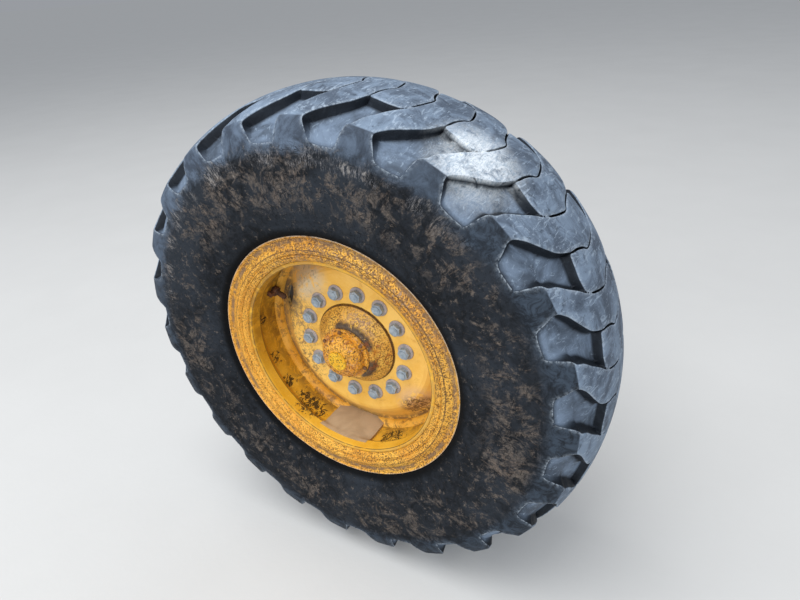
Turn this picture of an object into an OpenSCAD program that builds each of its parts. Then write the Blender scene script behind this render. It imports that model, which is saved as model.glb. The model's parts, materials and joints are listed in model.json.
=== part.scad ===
// Motor grader front wheel on its hub and axle end.
// The axle is the Y axis. Y = 0 is the face that bolts to the steering knuckle,
// and the outboard face of the wheel looks along -Y. +Z is up.

/* [Tyre] */
// Diameter over the crown of the worn tread
tyre_od = 1348; // [1335:1:1356]
// How far the widest section stands out past the inner face of a flange
tyre_bulge = 45.2; // [40:0.2:50]
// How far below the crown the sidewall is widest
widest_drop = 169; // [160:1:182]
// How far each shoulder corner lies inside the widest section
shoulder_inset = 20; // [15:0.5:26]
// How far the shoulder corners lie below the crown
shoulder_drop = 40; // [36:1:46]
// Lugs on each side of the tread
lug_count = 23; // [20:1:26]
// Height of a lug at the crown
lug_depth = 22; // [16:1:26]
// How far the void floor falls from the crown to the sidewall
mouth_drop = 69; // [60:1:76]
// Slope of the walls of a lug at the shoulder
lug_draft = 1; // [0:0.1:2]
// Rubber of the tread under the void floor
undertread_t = 14; // [10:1:18]
// Thickness of the carcass under the tread
carcass_t = 16; // [12:1:20]
// Thickness of the sidewall
sidewall_t = 24; // [18:1:30]
// Width of a bead on its seat
bead_w = 46; // [36:1:56]

/* [Rim] */
// Bead seat diameter of the rim
seat_dia = 635; // [630:1:640]
// Width between the flanges
rim_width = 315.6; // [312:0.4:320]
// Height of a flange above the bead seat
flange_h = 38; // [36:0.5:40]
// Depth of a flange along the axle, to its outer edge
flange_edge = 20; // [18:0.5:22]
// Fall of the bead seats towards the middle of the rim
seat_taper = 5.7; // [4:0.1:7]
// Width of the bead seat band
band_w = 62; // [56:1:72]
// How far the bore of the barrel lies inside the bead seat
barrel_depth = 24.5; // [23:0.5:27]
// Thickness of the barrel
barrel_t = 10.2; // [8:0.2:11]
// How far the bore of the gutter lip lies inside the bead seat
lip_depth = 41.5; // [39:0.5:44]
// Thickness of the lip under the lock ring
lip_t = 7; // [5:0.5:9]
// Gap in the split lock ring
ring_gap = 7; // [4:1:12]
// Angle of that gap, from +X towards +Z
ring_gap_angle = -8; // [-20:1:20]

/* [Disc] */
// Distance from the mounting face to the outboard face of the disc
disc_face = 330; // [322:1:338]
// How far that face lies outboard of the wheel's centre plane
disc_offset = 68; // [62:1:76]
// Thickness of the disc
disc_t = 14; // [10:1:18]
// Width of the sloping edge of the disc
disc_slope_w = 70; // [60:1:80]
// How far the edge of the disc lies behind its middle
disc_dish = 39; // [34:1:44]
// Leg of the weld between the disc and the barrel
disc_weld = 15; // [10:1:20]
// Diameter of the circle of wheel studs
stud_pcd = 310; // [300:1:320]
// Number of wheel studs
stud_count = 14; // [10:1:16]
// Angle of the first stud, from +X towards +Z
stud_angle = 107.1; // [96:0.1:120]
// Diameter of a wheel stud
stud_d = 22; // [18:1:24]
// Width of a nut across its flats
nut_af = 30; // [27:1:34]
// Height of a nut above its washer
nut_h = 14; // [11:1:18]
// Diameter of the washer under a nut
washer_d = 46; // [42:1:50]
// Thickness of that washer
washer_t = 4; // [3:0.5:6]
// Length of the valve slot in the disc
slot_l = 66; // [50:1:76]
// Width of the valve slot
slot_w = 34; // [24:1:38]
// Distance of the valve slot from the bore of the barrel
slot_inset = 50; // [46:1:56]
// Angle of the valve, from +X towards +Z
valve_angle = 157; // [150:1:165]

/* [Hub] */
// Radius of the hub boss in the middle of the disc
boss_r = 120; // [114:1:124]
// Radius of the hub flange that carries the studs
hub_flange_r = 186; // [180:1:190]
// Thickness of the hub flange
hub_flange_t = 24; // [18:1:30]
// Radius of the hub barrel behind its flange
hub_r = 122; // [112:1:126]
// Distance from the mounting face to the back of the hub
hub_back = 62; // [56:1:72]
// Radius of the bearing bore
bearing_r = 84; // [76:1:92]
// Ribs between the hub flange and its barrel
rib_count = 7; // [7:7:14]
// Thickness of a rib
rib_t = 14; // [10:1:18]
// Height of the cone of the hub cover
cover_h = 49; // [40:1:56]
// Radius at the top of that cone
cover_top_r = 79; // [76:1:84]
// Radius of the flange of the hub cap
cap_flange_r = 72; // [68:1:75]
// Thickness of the flange of the hub cap
cap_flange_t = 7; // [5:1:10]
// Height of the hub cap above its flange
cap_h = 39; // [32:1:46]
// Radius of the hub cap at its foot
cap_r = 60; // [56:1:61]
// Radius of the flat end of the hub cap
cap_end_r = 27; // [22:1:32]
// Bolts around the hub cap
cap_bolts = 6; // [3:1:8]

/* [Axle end] */
// Diameter of the mounting flange
axle_flange_d = 300; // [290:1:320]
// Thickness of the mounting flange
axle_flange_t = 28; // [22:1:34]
// Diameter of the circle of mounting bolts
mount_pcd = 250; // [240:1:260]
// Number of mounting bolts
mount_count = 12; // [8:1:16]
// Diameter of the mounting bolt holes
mount_hole_d = 21; // [17:1:23]
// Diameter of the spindle in its bearings
spindle_d = 90; // [80:1:100]

/* [Hidden] */
$fn = 96;

wheel_paint = [0.93, 0.62, 0.10];
steel = [0.45, 0.47, 0.50];
rubber = [0.09, 0.09, 0.10];

// Clearance between pieces that are pressed or clamped together
fit = 0.2;
// Clearance between the tyre and the rim, and round the bolts of the cap
gap = 0.3;
// How far a cutting tool runs past the face it leaves
past = 1;
// Clearance between the turning hub and what it runs on
run = 0.3;

// Places along the axle, measured outboard from the mounting face
disc_back = disc_face - disc_t;
centre = disc_face - disc_offset;
front_flange = centre + rim_width / 2;
back_flange = centre - rim_width / 2;

tyre_r = tyre_od / 2;
widest_r = tyre_r - widest_drop;
half_tyre = rim_width / 2 + tyre_bulge;
half_tread = half_tyre - shoulder_inset;
shoulder_r = tyre_r - shoulder_drop;
seat_r = seat_dia / 2;
flange_r = seat_r + flange_h;
barrel_r = seat_r - barrel_depth;
base_r = barrel_r + barrel_t;
lip_r = seat_r - lip_depth;
pitch = 360 / lug_count;

// The widest half width of the section falls to the shoulder and to the flange
flange_fall = half_tyre - rim_width / 2 - flange_edge;
function power_fall(x, span, drop, power) = drop * pow(max(0, x) / span, power);
// Powers of the curves: the higher, the flatter the middle and the sharper the end
to_shoulder = 4;
to_flange = 2.15;
of_crown = 2.2;
of_void = 2.6;
function side_w(r) = half_tyre
    - power_fall(r - widest_r, shoulder_r - widest_r, shoulder_inset, to_shoulder)
    - power_fall(widest_r - r, widest_r - flange_r, flange_fall, to_flange);
function crown(w) = tyre_r - power_fall(abs(w), half_tread, shoulder_drop, of_crown);
mouth_out = 17;
mouth_w = half_tread + mouth_out;
function void_floor(w) = tyre_r - lug_depth - power_fall(abs(w), mouth_w, mouth_drop, of_void);

// Everything round turns about the axle, with its height measured outboard
module on_axle() { rotate([90, 0, 0]) children(); }
module ring(points, fn = 180) { on_axle() rotate_extrude($fn = fn) polygon(points); }
module around(count, radius, first = 0) {
    for (i = [0 : count - 1]) rotate([0, 0, first - i * 360 / count]) translate([radius, 0, 0]) children();
}

// One lug, from its shoulder to its end past the centre line.
// Columns: distance from the centre plane (share of the half tread, above 0 is its own side),
// left edge and right edge (shares of the pitch, from the middle of the void on its left).
LUG = [[1.09, 0.24, 0.82], [1, 0.32, 0.7], [0.76, 0.53, 0.98], [0.36, 0.82, 1.26],
       [0, 0.9, 1.39], [-0.35, 0.8, 1.3], [-0.49, 1.04, 1.1]];
lug_embed = 8;
// Fall of a lug's top beyond the shoulder corner, to each mm along the axle
shoulder_slope = 2.5;
// The void at the top of the photographed face, from +X towards +Z
first_void = 83.2;
// Flat sides round the tread: a whole number to each pitch
tread_sides = 2 * lug_count;
facet_gain = 1 / cos(180 / tread_sides);

// Top of a lug: the crown, then the slope of the shoulder down to the sidewall
function lug_top(w) = abs(w) < half_tread ? crown(w) : shoulder_r - (abs(w) - half_tread) * shoulder_slope;
function at_angle(r, a) = [r * cos(a), r * sin(a)];

// The four corners of a lug at one row of the table
function lug_corners(row, side) = let (
        w = row[0] * half_tread,
        draft = lug_draft * 2 * max(0, abs(row[0]) - 0.5),
        left = -row[1] * pitch,
        right = -row[2] * pitch,
        foot = void_floor(w) - lug_embed)
    [for (c = [at_angle(lug_top(w), left), at_angle(lug_top(w), right), at_angle(foot, right - draft),
        at_angle(foot, left + draft)]) [c[0], c[1], centre + side * w]];

module lug(side, angle) {
    rotate([0, 0, angle]) for (i = [1 : len(LUG) - 1])
        hull() polyhedron(
            concat(lug_corners(LUG[i - 1], side), lug_corners(LUG[i], side)),
            [[0, 1, 2, 3], [7, 6, 5, 4], [0, 4, 5, 1], [1, 5, 6, 2], [2, 6, 7, 3], [3, 7, 4, 0]]);
}

// The tread's skirt ends on the sidewall at skirt_r
skirt_up = 55;
skirt_r = widest_r + skirt_up;
skirt_t = 12;

// Where the tread meets the carcass, on one side
bond = concat(
    [for (k = [0.5, 0.98]) let (w = half_tread * k) [void_floor(w) - undertread_t, w]],
    [[skirt_r, side_w(skirt_r) - skirt_t]]);

// A closed profile from the points of one side, outside and inside, with its mirror image.
// Points hold radius and distance from the centre plane.
module both_sides(outside, inside) {
    polygon(concat(
        [for (i = [len(outside) - 1 : -1 : 0]) [outside[i][0], centre - outside[i][1]]],
        [for (p = outside) [p[0], centre + p[1]]],
        [for (i = [len(inside) - 1 : -1 : 0]) [inside[i][0], centre + inside[i][1]]],
        [for (p = inside) [p[0], centre - p[1]]]));
}

module tread() {
    outside = concat(
        [for (k = [0.6, 1]) [facet_gain * void_floor(mouth_w * k), mouth_w * k]],
        [[facet_gain * skirt_r, side_w(skirt_r)]]);
    color(rubber) on_axle() union() {
        rotate_extrude($fn = tread_sides)
            both_sides(outside, [for (p = bond) [facet_gain * p[0], p[1]]]);
        for (i = [0 : lug_count - 1]) {
            lug(1, first_void - i * pitch);
            lug(-1, first_void - (i + 0.5) * pitch);
        }
    }
}

// Height of the bead seats above or below the taper's high edge, at w from the centre plane
function seat_at(w) = seat_r - (rim_width / 2 - w) * seat_taper / band_w;

module tyre() {
    b = rim_width / 2;
    wall_steps = 5;
    // The wall is thicker by this share of itself at the bead
    bead_gain = 0.7;
    flange_clear = 5;
    inside_shoulder_r = skirt_r + skirt_t - fit;
    ledge = [[skirt_r - fit, side_w(skirt_r) - skirt_t - fit], [skirt_r - fit, side_w(skirt_r)]];
    side = [for (k = [1 : 8]) let (r = skirt_r - (skirt_r - flange_r - flange_clear) * k / 8) [r, side_w(r)]];
    // Columns: share of the flange's height, share of its depth
    bead = [[-0.05, 0.52], [-0.24, 0.27], [-0.45, 0.04], [-0.68, 0]];
    bead_pts = [for (p = bead) [flange_r + p[0] * flange_h, b + p[1] * flange_edge - gap]];
    seat = [[seat_at(b) + gap, b - gap], [seat_at(b - bead_w) + gap, b - bead_w]];
    inner_side = [for (k = [wall_steps : -1 : 0])
        let (r = flange_r + gap + (inside_shoulder_r - flange_r) * k / wall_steps)
            [r, side_w(r) - sidewall_t * (1 + bead_gain * (1 - k / wall_steps))]];
    inner_crown = [for (k = [0.3, 0.6, 0.8]) let (w = half_tread * k)
        [void_floor(w) - undertread_t - carcass_t, w]];
    color(rubber) on_axle() rotate_extrude($fn = 180) both_sides(
        concat([for (i = [0 : len(bond) - 2]) [bond[i][0] - fit, bond[i][1]]], ledge, side, bead_pts, seat),
        concat(inner_crown, inner_side));
}

// Section of a flange, from the foot of its back, round its rim to its inner face.
// Columns: share of the flange's height above the seat, share of its depth outboard.
FLANGE = [[-0.27, 0], [-0.27, 1], [-0.14, 1.22], [0.03, 1.25], [0.29, 1], [0.55, 0.67], [0.72, 0.67],
          [0.88, 0.9], [0.97, 1], [1, 0.95], [1, 0.76], [0.91, 0.51], [0.75, 0.29], [0.54, 0.07], [0.33, 0]];
flange_foot = seat_r + FLANGE[0][0] * flange_h;

module flange_section(at, way) {
    polygon([for (p = FLANGE)
        [seat_r + p[0] * flange_h + (p[0] < -0.2 ? fit : 0), at + way * p[1] * flange_edge]]);
}

module outer_flange() {
    color(wheel_paint) on_axle() rotate_extrude($fn = 180) flange_section(front_flange, 1);
}

module inner_flange() {
    color(wheel_paint) on_axle() rotate_extrude($fn = 180) flange_section(back_flange, -1);
}

module bead_seat_band() {
    bore = base_r + fit;
    front = front_flange + flange_edge * 1.05;
    chamfer = flange_edge * 0.1;
    color(wheel_paint) ring([
        [bore, front_flange - band_w], [seat_r - seat_taper, front_flange - band_w], [seat_r, front_flange],
        [flange_foot, front_flange], [flange_foot, front], [flange_foot - chamfer, front + chamfer],
        [bore, front + chamfer]]);
}

// The lock ring lies in a gutter on the lip. Heights along the axle are counted from the outer flange.
gutter_r = lip_r + lip_t;
gutter_back = -flange_edge * 0.35;
gutter_front = flange_edge * 0.4;
gutter_lip_r = gutter_r + lip_t * 0.55;

// Section of the lock ring.
// Columns: share of its height above the gutter's floor, share of the flange's depth outboard.
LOCK_RING = [[0, -0.25], [0, 0.37], [0.22, 0.39], [0.22, 0.61], [0.3, 0.78], [0.64, 1], [0.94, 1.1],
             [1, 1.04], [1, -0.25]];

module lock_ring() {
    ring_h = base_r - gutter_r - fit;
    color(wheel_paint) on_axle() difference() {
        rotate_extrude($fn = 180) polygon([for (p = LOCK_RING)
            [gutter_r + fit + p[0] * ring_h, front_flange + p[1] * flange_edge]]);
        rotate([0, 0, ring_gap_angle]) translate([lip_r, -ring_gap / 2, front_flange - flange_edge])
            cube([flange_h, ring_gap, 3 * flange_edge]);
    }
}

// The barrel has the back seat and the foot of the inner flange at one end, the lip at the other
module rim_base() {
    back = back_flange - flange_edge * 1.5;
    back_r = seat_r - seat_taper;
    heel = back_flange - flange_edge * 1.26;
    seat_end = back_flange + band_w * 1.2;
    lip_l = flange_edge * 1.1;
    lip_slope = flange_edge;
    lip_round = lip_t * 0.2;
    lip_foot = front_flange + gutter_front;
    color(wheel_paint) on_axle() difference() {
        rotate_extrude($fn = 180) polygon([
            [barrel_r, back], [back_r, back], [back_r, heel],
            [flange_foot, back_flange - flange_edge], [flange_foot, back_flange],
            [seat_r, back_flange], [back_r, back_flange + band_w], [base_r, seat_end],
            [base_r, front_flange + gutter_back], [gutter_r, front_flange + gutter_back],
            [gutter_r, lip_foot], [gutter_lip_r, lip_foot], [gutter_lip_r, lip_foot + lip_t * 0.55],
            [lip_r + lip_t, lip_foot + lip_t * 0.75], [lip_r + lip_round, lip_foot + lip_t * 0.45],
            [lip_r, lip_foot - lip_round],
            [lip_r, front_flange - lip_l], [barrel_r, front_flange - lip_l - lip_slope]]);
        rotate([0, 0, valve_angle]) translate([barrel_r - barrel_t, 0, valve_h]) rotate([0, 90, 0])
            cylinder(d = valve_hole_d, h = 3 * barrel_t);
    }
}

// The disc is flat to disc_flat_r, falls in an S and ends in a flat edge that the weld lies on
disc_edge_r = barrel_r - fit;
disc_flat_r = disc_edge_r - disc_weld - disc_slope_w;
disc_fall_r = disc_slope_w - 1;
function disc_h(r) = disc_face - disc_dish * (1 - cos(180 * min(1, max(0, r - disc_flat_r) / disc_fall_r))) / 2;

module rim_disc() {
    bore = boss_r + 1.2;
    hole_d = stud_d + 1.5;
    steps = [for (k = [0 : 7]) disc_flat_r + disc_fall_r * k / 7];
    front = [for (r = concat(steps, [disc_edge_r])) [r, disc_h(r)]];
    back = [for (i = [len(front) - 1 : -1 : 0]) [front[i][0], front[i][1] - disc_t]];
    color(wheel_paint) on_axle() difference() {
        rotate_extrude($fn = 180) polygon(concat(
            [[bore, disc_back], [bore, disc_face]], front, back));
        around(stud_count, stud_r, stud_angle)
            translate([0, 0, disc_back - past]) cylinder(d = hole_d, h = disc_t + 2 * past, $fn = 32);
        rotate([0, 0, valve_angle]) translate([barrel_r - slot_inset, 0, disc_back - disc_dish - disc_t])
            linear_extrude(height = 3 * disc_t + disc_dish) valve_slot();
    }
}

module valve_slot() {
    half = (slot_l - slot_w) / 2;
    square([slot_w, 2 * half], center = true);
    for (s = [-1, 1]) translate([0, s * half]) circle(d = slot_w, $fn = 48);
}

weld_foot = disc_face - disc_dish + fit;
weld_h = disc_weld * 1.5;

module disc_weld_ring() {
    // Columns: share of the weld's leg inward from the barrel, share of its height
    section = [[0, 0], [1, 0], [0.95, 0.25], [0.7, 0.6], [0.35, 0.9], [0, 1]];
    color(wheel_paint) ring([for (p = section) [disc_edge_r - p[0] * disc_weld, weld_foot + p[1] * weld_h]]);
}

stud_r = stud_pcd / 2;
washer_foot = disc_face + fit;
nut_base = washer_foot + washer_t + fit;
nut_chamfer = 3.5;
// How far a stud stands out past its nut
stud_out = 1.6;
hub_flange_back = disc_back - hub_flange_t;

module wheel_studs() {
    head_d = stud_d + 12;
    head_t = 10;
    color(steel) on_axle() around(stud_count, stud_r, stud_angle) {
        translate([0, 0, hub_flange_back - head_t]) cylinder(d = head_d, h = head_t - fit, $fn = 32);
        translate([0, 0, hub_flange_back - head_t / 2])
            cylinder(d = stud_d, h = nut_base + nut_h + stud_out - hub_flange_back + head_t / 2, $fn = 32);
    }
}

module wheel_washers() {
    bore = stud_d / 2 + fit;
    r = washer_d / 2;
    color(steel) on_axle() around(stud_count, stud_r, stud_angle) translate([0, 0, washer_foot])
        rotate_extrude($fn = 64)
            polygon([[bore, 0], [r, 0], [r, washer_t / 2], [r - washer_t / 2, washer_t], [bore, washer_t]]);
}

module wheel_nuts() {
    color(steel) on_axle() around(stud_count, stud_r, stud_angle) difference() {
        intersection() {
            translate([0, 0, nut_base]) cylinder(d = nut_af / cos(30), h = nut_h, $fn = 6);
            translate([0, 0, nut_base]) rotate_extrude($fn = 64)
                polygon([[0, 0], [nut_af * 0.6, 0], [nut_af * 0.6, nut_h - nut_chamfer], [nut_af * 0.42, nut_h],
                         [0, nut_h]]);
        }
        translate([0, 0, nut_base - past]) cylinder(d = stud_d + 2 * fit, h = nut_h + 2 * past, $fn = 32);
    }
}

// The valve stands inward from the barrel just in front of the weld
valve_d = 15;
valve_hole_d = 20;
valve_h = weld_foot + weld_h + valve_hole_d / 2 + 3;
valve_len = 44;
valve_foot_r = barrel_r + 4;
valve_tip_d = valve_d - 4;
valve_cap_h = 13;

// Inward along the valve, from its foot in the barrel
module at_valve(inward = 0) {
    on_axle() rotate([0, 0, valve_angle]) translate([valve_foot_r - inward, 0, valve_h])
        rotate([0, -90, 0]) children();
}

module valve_stem() {
    grommet_t = 4.3;
    hex_h = 6;
    body = valve_len - valve_cap_h + past;
    color(steel) at_valve() {
        cylinder(d = valve_hole_d - 2 * fit, h = grommet_t, $fn = 48);
        translate([0, 0, grommet_t]) cylinder(d = valve_d + 11, h = hex_h, $fn = 6);
        cylinder(d = valve_d, h = body, $fn = 48);
        translate([0, 0, body - past]) cylinder(d = valve_tip_d, h = valve_cap_h - 2 * past, $fn = 48);
    }
}

module valve_cap() {
    hollow = valve_cap_h - 3;
    color(steel) at_valve(valve_len - valve_cap_h + past + fit) difference() {
        union() {
            cylinder(d = valve_d + 1, h = valve_cap_h, $fn = 48);
            translate([0, 0, valve_cap_h]) cylinder(d = valve_d - 3, h = 4, $fn = 48);
        }
        translate([0, 0, -past]) cylinder(d = valve_tip_d + 2 * fit, h = hollow + past, $fn = 48);
    }
}

// A rusty strap that stands on the barrel and holds the stem with an eye
module valve_clip() {
    eye_d = valve_d + 14;
    eye_in = 15;
    strap = 7;
    strap_l = 26;
    top = barrel_r - eye_in;
    color([0.40, 0.20, 0.08]) on_axle() rotate([0, 0, valve_angle]) translate([0, 0, valve_h]) difference() {
        union() {
            translate([top, 0, 0]) rotate([0, 90, 0]) cylinder(d = eye_d, h = strap, $fn = 48);
            translate([top, -strap, 0]) cube([strap, 2 * strap, strap_l]);
            translate([top, -strap, strap_l - strap]) cube([eye_in + 4, 2 * strap, strap]);
        }
        translate([top - past, 0, 0]) rotate([0, 90, 0])
            cylinder(d = valve_d + 2 * fit, h = strap + 2 * past, $fn = 48);
        difference() {
            translate([0, 0, -eye_d]) cylinder(r = barrel_r + eye_d, h = 3 * eye_d);
            translate([0, 0, -eye_d - past]) cylinder(r = barrel_r - fit, h = 3 * eye_d + 2 * past);
        }
    }
}

// The hub ends in a boss through the disc, and its cover and cap stand on that
boss_end = disc_face + 0.5;
cap_foot = boss_end + cover_h;

module hub() {
    bearing_lid = 34;
    neck_in = 8;
    neck_slope = [26, 40];
    fillet = [12, 18];
    rib_l = 120;
    rib_foot = hub_flange_back - rib_l;
    rib_in = 6;
    rib_inset = 20;
    rib_r = hub_flange_r - rib_inset;
    rib_root = 2;
    color(wheel_paint) on_axle() difference() {
        union() {
            rotate_extrude($fn = 120) polygon([
                [bearing_r, hub_back], [hub_r - neck_in, hub_back],
                [hub_r - neck_in / 2, hub_back + neck_slope[0]],
                [hub_r, hub_back + neck_slope[1]], [hub_r, hub_flange_back - fillet[1]],
                [hub_r + fillet[0], hub_flange_back], [hub_flange_r, hub_flange_back],
                [hub_flange_r, disc_back], [boss_r, disc_back], [boss_r, boss_end], [0, boss_end],
                [0, boss_end - bearing_lid], [bearing_r, boss_end - bearing_lid]]);
            around(rib_count, 0, stud_angle - 180 / stud_count)
                translate([0, rib_t / 2, 0]) rotate([90, 0, 0]) linear_extrude(height = rib_t) polygon([
                    [hub_r - rib_in, rib_foot], [rib_r, hub_flange_back - rib_root],
                    [rib_r, hub_flange_back + rib_root], [hub_r - rib_in, hub_flange_back + rib_root]]);
        }
        around(stud_count, stud_r, stud_angle)
            translate([0, 0, hub_flange_back - past])
                cylinder(d = stud_d + 2 * fit, h = hub_flange_t + 2 * past, $fn = 32);
    }
}

module hub_cover() {
    // Columns: radius, height above the boss
    section = [[boss_r - 1, 0], [boss_r - 1, 4], [boss_r - 9, 13], [cover_top_r + 9, cover_h - 14],
               [cover_top_r + 3, cover_h - 3], [cover_top_r - 1, cover_h]];
    color(wheel_paint) ring(concat([[0, boss_end]], [for (p = section) [p[0], boss_end + p[1]]],
        [[0, boss_end + cover_h]]), 120);
}

cap_bolt_d = 6;
bolt_r = (cap_flange_r + cap_r) / 2 + 0.5;
cap_bolt_angle = 95;

module hub_cap() {
    top = cap_foot + cap_flange_t;
    bevel = 1.5;
    wall = 6;
    brim = 5;
    end_t = 3;
    dome = cap_h - wall - end_t;
    dome_w = cap_r - cap_end_r - brim;
    color(wheel_paint) on_axle() difference() {
        rotate_extrude($fn = 120) polygon(concat(
            [[0, cap_foot], [cap_flange_r, cap_foot], [cap_flange_r, top - bevel], [cap_flange_r - bevel, top],
             [cap_r + 0.5, top], [cap_r, top + wall]],
            [for (a = [18 : 18 : 90]) [cap_end_r + brim + dome_w * cos(a * 0.96), top + wall + dome * sin(a)]],
            [[cap_end_r, top + wall + dome], [cap_end_r, top + cap_h], [0, top + cap_h]]));
        around(cap_bolts, bolt_r, cap_bolt_angle) translate([0, 0, cap_foot - past])
            cylinder(d = cap_bolt_d + 2 * gap, h = cap_flange_t + 2 * past, $fn = 24);
    }
}

module hub_cap_bolts() {
    head_d = 10.5;
    head_h = 5;
    color(steel) on_axle() around(cap_bolts, bolt_r, cap_bolt_angle) {
        translate([0, 0, cap_foot + cap_flange_t]) cylinder(d = head_d, h = head_h, $fn = 6);
        translate([0, 0, cap_foot + fit]) cylinder(d = cap_bolt_d, h = cap_flange_t + past, $fn = 24);
    }
}

// The spindle carries the hub on two bearings
spindle_r = spindle_d / 2;
bearing_w = 46;
spindle_in = 44;
outer_bearing_in = 6;
inner_bearing_in = 22;
spindle_end = disc_face - spindle_in;
outer_bearing_at = spindle_end - bearing_w - outer_bearing_in;
inner_bearing_at = hub_back + inner_bearing_in;
seal_land = 10;
seal_r = spindle_r + seal_land;
seal_w = 17;
seal_out = 3;

module bearing(at) {
    color(steel) ring([
        [spindle_r + fit, at], [bearing_r - run, at], [bearing_r - run, at + bearing_w],
        [spindle_r + fit, at + bearing_w]], 120);
}

module outer_bearing() { bearing(outer_bearing_at); }
module inner_bearing() { bearing(inner_bearing_at); }

module hub_seal() {
    back = hub_back - seal_out;
    color(rubber) ring([
        [seal_r + run, back], [bearing_r - fit, back], [bearing_r - fit, back + seal_w],
        [seal_r + run, back + seal_w]], 120);
}

module spindle() {
    foot = axle_flange_t + fit;
    fillet = [12, 18];
    bevel = 3;
    shoulder = inner_bearing_at - fit;
    color(steel) ring([
        [0, foot], [seal_r + fillet[0], foot], [seal_r, foot + fillet[1]], [seal_r, shoulder],
        [spindle_r, shoulder], [spindle_r, spindle_end - bevel], [spindle_r - bevel, spindle_end],
        [0, spindle_end]], 120);
}

module spindle_flange() {
    r = axle_flange_d / 2;
    bevel = 2;
    color(steel) on_axle() difference() {
        rotate_extrude($fn = 120) polygon([
            [0, 0], [r - bevel, 0], [r, bevel], [r, axle_flange_t - bevel], [r - bevel, axle_flange_t],
            [0, axle_flange_t]]);
        around(mount_count, mount_pcd / 2, 90) translate([0, 0, -past])
            cylinder(d = mount_hole_d, h = axle_flange_t + 2 * past, $fn = 48);
    }
}

tyre();
tread();
rim_base();
outer_flange();
inner_flange();
bead_seat_band();
lock_ring();
rim_disc();
disc_weld_ring();
wheel_studs();
wheel_washers();
wheel_nuts();
valve_stem();
valve_cap();
valve_clip();
hub();
hub_cover();
hub_cap();
hub_cap_bolts();
outer_bearing();
inner_bearing();
hub_seal();
spindle();
spindle_flange();
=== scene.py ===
import json
import math
from functools import partial, reduce

import bpy
import numpy as np
from mathutils import Matrix, Vector, geometry, noise


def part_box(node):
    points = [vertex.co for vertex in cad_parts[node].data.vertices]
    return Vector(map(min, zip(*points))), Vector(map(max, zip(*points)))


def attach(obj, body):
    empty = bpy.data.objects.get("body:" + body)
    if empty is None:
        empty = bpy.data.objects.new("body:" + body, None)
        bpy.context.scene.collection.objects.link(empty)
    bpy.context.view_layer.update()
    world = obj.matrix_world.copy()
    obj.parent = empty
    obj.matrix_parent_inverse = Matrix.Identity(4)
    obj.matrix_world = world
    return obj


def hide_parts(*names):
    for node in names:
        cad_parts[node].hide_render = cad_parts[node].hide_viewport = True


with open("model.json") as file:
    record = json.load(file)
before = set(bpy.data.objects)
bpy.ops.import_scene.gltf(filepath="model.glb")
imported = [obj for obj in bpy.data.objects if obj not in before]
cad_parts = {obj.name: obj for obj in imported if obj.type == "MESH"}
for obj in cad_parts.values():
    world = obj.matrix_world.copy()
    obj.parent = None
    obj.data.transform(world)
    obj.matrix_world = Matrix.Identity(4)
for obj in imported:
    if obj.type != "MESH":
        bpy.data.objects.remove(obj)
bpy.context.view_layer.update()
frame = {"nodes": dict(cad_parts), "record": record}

# Sizes of the tyre in metres. The axle is the Y axis and the outboard face looks along -Y.
TYRE_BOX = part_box("tyre")
CENTRE_Y = (TYRE_BOX[0][1] + TYRE_BOX[1][1]) / 2
HALF_TYRE = (TYRE_BOX[1][1] - TYRE_BOX[0][1]) / 2
TYRE_R = 0.6732                         # over the worn tops, just inside the solid tread
WIDEST_R = 0.505                        # where the tyre is widest
HALF_TREAD = 0.183                      # from the centre plane to the corner of the shoulder
SHOULDER_DROP = 0.040                   # the corner lies this much lower than the middle
SHOULDER_R = TYRE_R - SHOULDER_DROP
FLANGE_R = 0.3555                       # edge of the side flanges
HALF_FLANGE = 0.1778                    # half width of the tyre there

# Powers of the curves: the crown, and the sidewall above and below its widest place
CROWN_CURVE = 2.2
UPPER_CURVE = 4
LOWER_CURVE = 2.15

# The tread goes round in like pitches. Angles are in degrees.
LUGS = 23
PITCH = 360 / LUGS
FIRST_VOID = 83.2
MM_PER_DEG = TYRE_R * 1000 * math.pi / 180

# The table of the tyre's skin has a row for about every mm
SKIN_END = 362                          # radius in mm at which the skin goes under the flange
CORNER_REACH = 30                       # rows on each side of the shoulder's corner that are smoothed
CORNER_WINDOW = 7                       # rows in the moving average there
SLOPE_WINDOW = 33                       # rows in the moving average of the skin's slope
WIDEST_S = 318                          # arc length in mm at which the skin has nearly its widest place


# The skin of the tyre

def side_w(r):
    """Half width of the tyre at radius r."""
    rise = max(0, r - WIDEST_R) / (SHOULDER_R - WIDEST_R)
    fall = max(0, WIDEST_R - r) / (WIDEST_R - FLANGE_R)
    upper = (HALF_TYRE - HALF_TREAD) * rise ** UPPER_CURVE
    lower = (HALF_TYRE - HALF_FLANGE) * fall ** LOWER_CURVE
    return HALF_TYRE - upper - lower


def smooth(values, window):
    """Moving average that keeps both ends."""
    half = window // 2
    padded = np.concatenate([np.full(half, values[0]), values, np.full(half, values[-1])])
    return np.convolve(padded, np.ones(window) / window, "valid")


def skin_table():
    """Arc length, half width and radius along the tyre's skin, from the centre line to the flange, in mm."""
    half = round(1000 * HALF_TREAD)
    rows = [(w, 1000 * (TYRE_R - SHOULDER_DROP * (w / half) ** CROWN_CURVE)) for w in range(half)]
    rows += [(1000 * side_w(r / 1000), r) for r in range(int(1000 * SHOULDER_R), SKIN_END - 1, -1)]
    rows = np.array(rows, float)
    corner = slice(half - CORNER_REACH, half + CORNER_REACH)
    rows[corner] = np.stack([smooth(column, CORNER_WINDOW)[corner] for column in rows.T], axis=1)
    steps = np.hypot(*np.diff(rows, axis=0).T)
    return np.concatenate([[0], np.cumsum(steps)]), rows[:, 0], rows[:, 1]


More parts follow.
